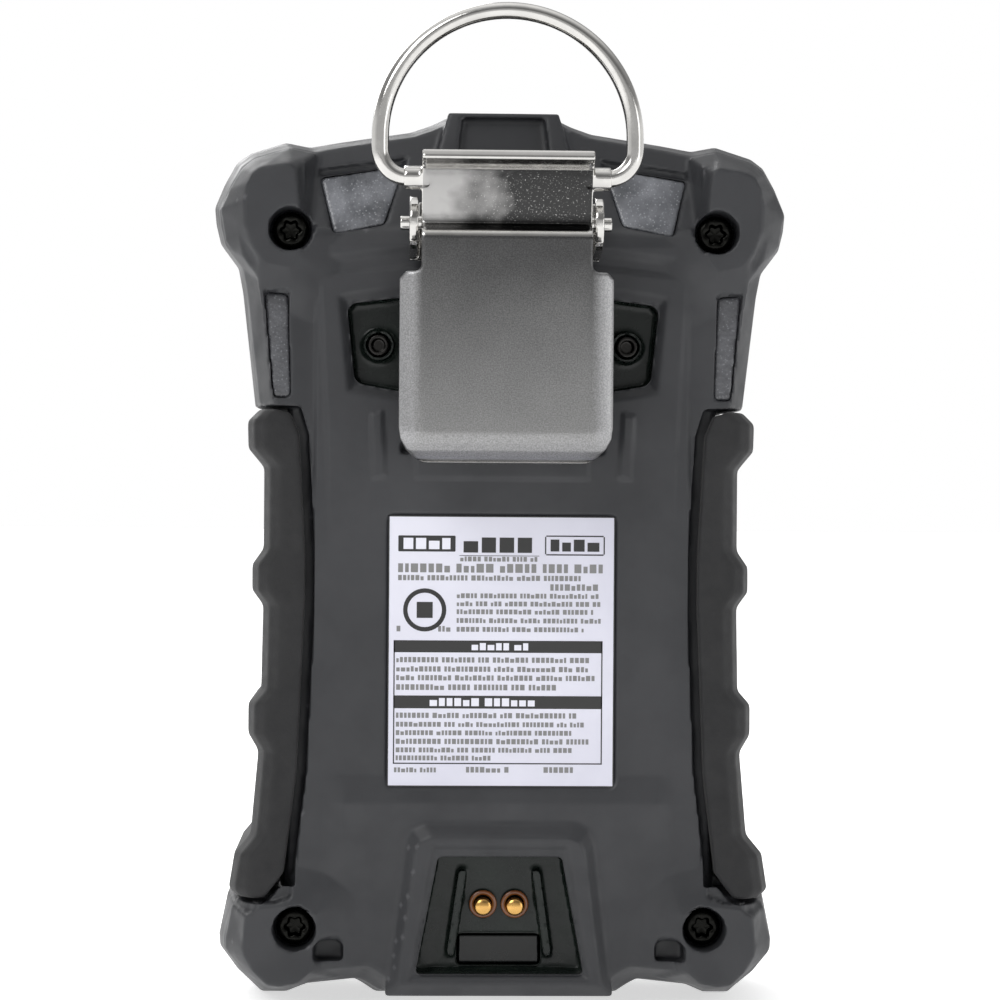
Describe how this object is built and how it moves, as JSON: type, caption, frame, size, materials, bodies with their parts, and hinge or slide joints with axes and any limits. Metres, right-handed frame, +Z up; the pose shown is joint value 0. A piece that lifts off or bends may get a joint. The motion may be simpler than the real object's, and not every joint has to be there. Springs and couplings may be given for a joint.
{
  "type": "portable gas detector",
  "caption": "Hand-held multi-gas detector in a ribbed shock-proof case, with a sprung steel belt clip and a lanyard ring on its back and a display, keys and sensor inlets on its front.",
  "frame": {"origin": "on the flat lower end that the detector stands on, in the middle of its width and of the casing's depth", "axes": "+Z up towards the lanyard ring, -Y out of the display side, +Y out of the clip side, +X to the right seen from the front"},
  "size_m": [0.0738, 0.0478, 0.1243],
  "materials": {
    "casing": "fine matte texture",
    "grip_rubber": "textured",
    "seal_rubber": "smooth",
    "black_plastic": "semi gloss",
    "spring_steel": "satin blasted",
    "black_steel": "blackened",
    "label_film": "satin film",
    "alarm_lens": "frosted",
    "front_lens": "frosted",
    "gold": "plated",
    "display_glass": "polished",
    "lcd": "smooth",
    "key_rubber": "smooth",
    "power_key_rubber": "smooth",
    "board": "solder mask",
    "battery_wrap": "shrink film",
    "oxygen_sensor": "moulded",
    "toxic_sensor": "moulded",
    "combustible_sensor": "turned",
    "filter_fabric": "sintered membrane",
    "led": "clear",
    "weight_brass": "machined"
  },
  "bodies": {
    "housing": {"rear_housing": "casing", "front_housing": "casing", "sensor_cover": "casing", "left_grip": "grip_rubber", "right_grip": "grip_rubber", "housing_gasket": "seal_rubber", "display_gasket": "seal_rubber", "sensor_gasket": "seal_rubber", "keypad_membrane": "seal_rubber", "contact_block": "black_plastic", "sensor_holder": "black_plastic", "buzzer": "black_plastic", "infrared_window": "black_plastic", "clip_base_plate": "spring_steel", "clip_screw_1": "spring_steel", "clip_screw_2": "spring_steel", "clip_hinge_pin": "spring_steel", "clip_spring": "spring_steel", "sensor_cover_screw_left": "spring_steel", "sensor_cover_screw_right": "spring_steel", "vibration_motor": "spring_steel", "housing_screw_1": "black_steel", "housing_screw_2": "black_steel", "housing_screw_3": "black_steel", "housing_screw_4": "black_steel", "threaded_insert_left": "black_steel", "threaded_insert_right": "black_steel", "rating_label": "label_film", "alarm_lens_left": "alarm_lens", "alarm_lens_right": "alarm_lens", "side_lens_left": "alarm_lens", "side_lens_right": "alarm_lens", "front_lens_left": "front_lens", "front_lens_right": "front_lens", "contact_pin_left": "gold", "contact_pin_right": "gold", "display_window": "display_glass", "lcd_module": "lcd", "gas_sensor_oxygen": "oxygen_sensor", "gas_sensor_toxic": "toxic_sensor", "gas_sensor_combustible": "combustible_sensor", "dust_filter": "filter_fabric", "main_board": "board", "battery_pack": "battery_wrap", "alarm_led_1": "led", "alarm_led_2": "led", "alarm_led_3": "led", "alarm_led_4": "led"},
    "clip_lever": {"clip_lever": "spring_steel", "clip_spring_arm": "spring_steel"},
    "d_ring": {"d_ring": "spring_steel"},
    "left_button": {"left_button": "key_rubber"},
    "power_button": {"power_button": "power_key_rubber"},
    "right_button": {"right_button": "key_rubber"},
    "vibration_weight": {"vibration_weight": "weight_brass"}
  },
  "joints": [
    {"name": "clip_hinge", "type": "hinge", "parent": "housing", "child": "clip_lever", "pos_m": [0, 0.0222, 0.0976], "axis": [1, 0, 0], "range_deg": [0, 22], "stiffness_Nm_per_rad": 0.12, "springref_deg": -28.65},
    {"name": "ring_hinge", "type": "hinge", "parent": "clip_lever", "child": "d_ring", "pos_m": [0, 0.026, 0.1028], "axis": [1, 0, 0], "range_deg": [-160, 30]},
    {"name": "left_button_press", "type": "slide", "parent": "housing", "child": "left_button", "axis": [0, 1, 0], "range_m": [0, 0.0008], "stiffness_N_per_m": 1200, "springref_m": -0.0008},
    {"name": "power_button_press", "type": "slide", "parent": "housing", "child": "power_button", "axis": [0, 1, 0], "range_m": [0, 0.0008], "stiffness_N_per_m": 1200, "springref_m": -0.0008},
    {"name": "right_button_press", "type": "slide", "parent": "housing", "child": "right_button", "axis": [0, 1, 0], "range_m": [0, 0.0008], "stiffness_N_per_m": 1200, "springref_m": -0.0008},
    {"name": "vibration_spin", "type": "hinge", "parent": "housing", "child": "vibration_weight", "pos_m": [-0.007, 0.0062, 0.079], "axis": [1, 0, 0], "continuous": true}
  ]
}
